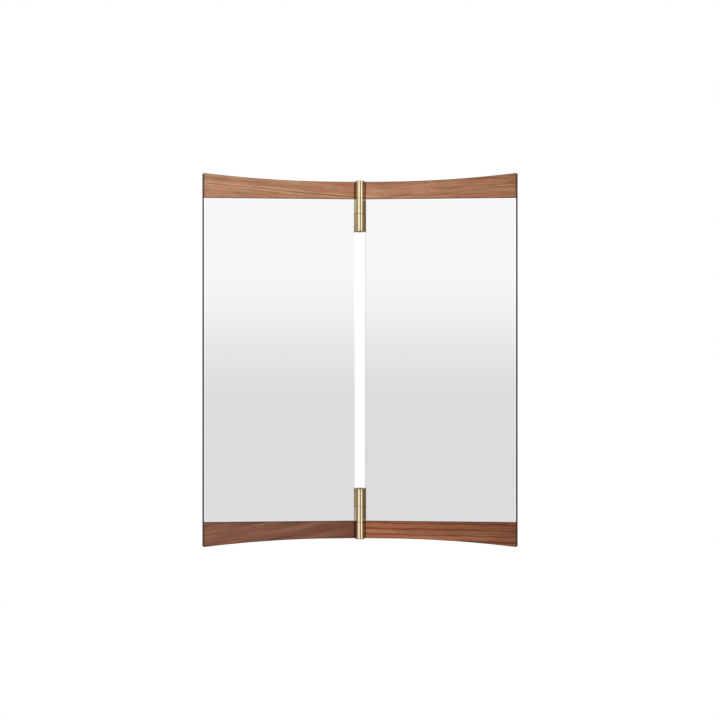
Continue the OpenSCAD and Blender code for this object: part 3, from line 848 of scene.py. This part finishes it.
class MIRROR_OT_studio(MirrorPiece, Operator):
    """Build the pale floor, the soft light, the surroundings that the mirror shows, and the camera"""

    bl_idname = "wall_mirror.studio"
    bl_label = "Build Studio"

    def execute(self, context):
        studio = self.settings(context).studio
        scene = context.scene
        scene.view_settings.view_transform = "Standard"
        self.lay_floor(studio)
        self.light_world(scene, studio)
        self.hang_lamps(studio)
        self.set_camera(scene, studio)
        return {"FINISHED"}

    @staticmethod
    def lay_floor(studio):
        """Square pale floor that keeps the mirror's shadow and fades into white towards its rim."""
        bpy.ops.object.select_all(action="DESELECT")
        bpy.ops.mesh.primitive_plane_add(size=studio.floor_size, location=(0, 0, -studio.floor_drop))
        floor = bpy.context.object
        floor.name = "floor"
        floor.visible_glossy = False
        bpy.ops.object.transform_apply(location=True, rotation=True, scale=True)
        tree = new_finish("pale_floor")
        camera, glossy, through = tree.rays("Camera", "Glossy", "Transmission")
        shown = camera + glossy + through
        place = tree.node("ShaderNodeTexCoord", output="Object")
        speckle = tree.noise(place, (4 * MM,) * 3, 2.0, 0.5, 1)
        pale = tree.mix(speckle, (0.78, 0.78, 0.78), (0.82, 0.82, 0.82))
        matt = tree.node("ShaderNodeBsdfDiffuse", None, {"Color": pale})
        lit = tree.node("ShaderNodeAddShader", None, {0: matt, 1: tree.glow(shown * 0.45)})
        x, y, _ = tree.parts(place)
        fade_middle, fade_width = studio.floor_size * 0.34, studio.floor_size * 0.14
        rim = (x * x + y * y).root().over(fade_middle, fade_width)
        white = tree.glow(shown + (1.0 - shown) * (0.8 * studio.ambient))
        faded = tree.node("ShaderNodeMixShader", None, {0: rim, 1: lit, 2: white})
        tree.node("ShaderNodeOutputMaterial", None, {"Surface": faded})
        floor.data.materials.append(tree.owner)

    @staticmethod
    def light_world(scene, studio):
        """White for the camera, soft light for matt surfaces, and a pale room for mirror and brass."""
        scene.world = bpy.data.worlds.new("studio")
        tree = Tree(scene.world)
        way = tree.node("ShaderNodeTexCoord", output="Generated")
        x, y, z = tree.parts(way)
        side = x.math("ARCTAN2", x, 0.0 - y)

        def sector(start, end, blur=1.5):
            """Mask of the directions between two angles to the right of the camera, in degrees."""
            return side.between(math.radians(start), math.radians(end), math.radians(blur))

        camera, glossy, through = tree.rays("Camera", "Glossy", "Transmission")
        depth = Value(tree, tree.node("ShaderNodeLightPath").socket.node.outputs["Glossy Depth"])
        again = depth.over(1.5, 0.1)
        steep = z.absolute()

        # The room is brighter above the horizon, a little darker high up and low down, and dark at the poles
        room = 0.814 + z.over(0.0065, 0.0215) * 0.234
        room = room - z.over(0.35, 0.25) * 0.048 - (0.0 - z).over(0.35, 0.25) * 0.069
        room = room * (1.0 - steep.over(0.915, 0.02) * 0.92)

        # Round the horizon are light panels, the dark gap that the camera looks through, and shaded sides
        low = 1.0 - steep.over(0.12, 0.03)
        panels = (sector(-43, -25.5) + sector(-17, -5, 0.8) + sector(25.5, 48)) * low * (1.0 - again)
        gap = sector(5, 18.7, 0.6) * low
        right_side = sector(49, 180, 2.0) * (1.0 - sector(58, 69)) * low
        left_side = sector(-180, -46, 2.0) * (1.0 - sector(-69, -58) * 0.55) * low
        wall = side.absolute().over(math.radians(165), math.radians(3)) * (1.0 - steep.over(0.5, 0.1))
        twice = again * low * (0.1 + side.over(0.0, math.radians(30)) * 0.5)
        mirrored = room * (1.0 - gap * 0.98 - right_side * 0.70 - left_side * 0.48) * (1.0 - wall * 0.65)
        mirrored = mirrored * (1.0 - twice) + panels * (studio.panel_glow - 1.0)

        strength = camera + through + glossy * mirrored + (1.0 - camera - through - glossy) * studio.ambient
        tint = tree.mix(glossy * panels, (1.0, 1.0, 1.0), studio.panel_tint)
        tint = tree.mix(glossy * right_side, tint, studio.shade_tint)
        light = tree.node("ShaderNodeBackground", None, {"Color": tint, "Strength": strength})
        tree.node("ShaderNodeOutputWorld", None, {"Surface": light})

    @staticmethod
    def hang_lamps(studio):
        """A large lamp above the camera, a tall one on each side of it and one behind the mirror."""
        lamps = [
            ("key_lamp", studio.key, (2.4, 2.0), (0.0, -2.6, 2.5)),
            ("left_strip_lamp", studio.strip, (1.5, 2.2), (-2.1, -2.8, 0.1)),
            ("right_strip_lamp", studio.strip, (1.5, 2.2), (2.1, -2.8, 0.1)),
            ("rear_lamp", studio.rear, (2.4, 2.0), (0.0, 3.0, 2.0)),
        ]
        for name, watts, size, place in lamps:
            bpy.ops.object.select_all(action="DESELECT")
            bpy.ops.object.light_add(type="AREA", location=place)
            lamp = bpy.context.object
            lamp.name = name
            lamp.data.shape = "RECTANGLE"
            lamp.data.size, lamp.data.size_y = size
            lamp.data.energy = watts
            lamp.rotation_euler = (HINGE - Vector(place)).to_track_quat("-Z", "Y").to_euler()
            lamp.visible_camera = lamp.visible_glossy = False

    @staticmethod
    def set_camera(scene, studio):
        """Camera straight in front of the hinge line, at mid height."""
        place = HINGE - Vector((0, studio.camera_distance, 0))
        bpy.ops.object.camera_add(location=place, rotation=(math.pi / 2, 0, 0))
        camera = bpy.context.object
        camera.name = "camera"
        camera.data.sensor_width = 36.0
        camera.data.lens = studio.lens
        camera.data.clip_end = 100.0
        scene.camera = camera


STEPS = (
    MIRROR_OT_rails,
    MIRROR_OT_stiles,
    MIRROR_OT_glass,
    MIRROR_OT_barrels,
    MIRROR_OT_steel,
    MIRROR_OT_bushes,
    MIRROR_OT_dowels,
    MIRROR_OT_back_boards,
    MIRROR_OT_felt_pads,
    MIRROR_OT_studio,
)


class VIEW3D_PT_wall_mirror(Panel):
    """Settings and steps of the wall mirror"""

    bl_label = "Wall Mirror"
    bl_space_type = "VIEW_3D"
    bl_region_type = "UI"
    bl_category = "Wall Mirror"

    def draw(self, context):
        settings = context.scene.folding_mirror
        for name in MirrorSettings.__annotations__:
            group = getattr(settings, name)
            box = self.layout.box()
            box.label(text=name.replace("_", " ").title())
            for field in group.__annotations__:
                box.prop(group, field)
        for step in STEPS:
            self.layout.operator(step.bl_idname)


CLASSES = (
    WalnutSettings,
    BrassSettings,
    MetalAndPlasticSettings,
    GlassSettings,
    BackSettings,
    StudioSettings,
    MirrorSettings,
    *STEPS,
    VIEW3D_PT_wall_mirror,
)


def register():
    for cls in CLASSES:
        bpy.utils.register_class(cls)
    bpy.types.Scene.folding_mirror = PointerProperty(type=MirrorSettings)


def unregister():
    del bpy.types.Scene.folding_mirror
    for cls in reversed(CLASSES):
        bpy.utils.unregister_class(cls)


def main():
    """Registers the add-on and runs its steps."""
    register()
    for step in STEPS:
        group, name = step.bl_idname.split(".")
        getattr(getattr(bpy.ops, group), name)()


if __name__ == "__main__":
    main()
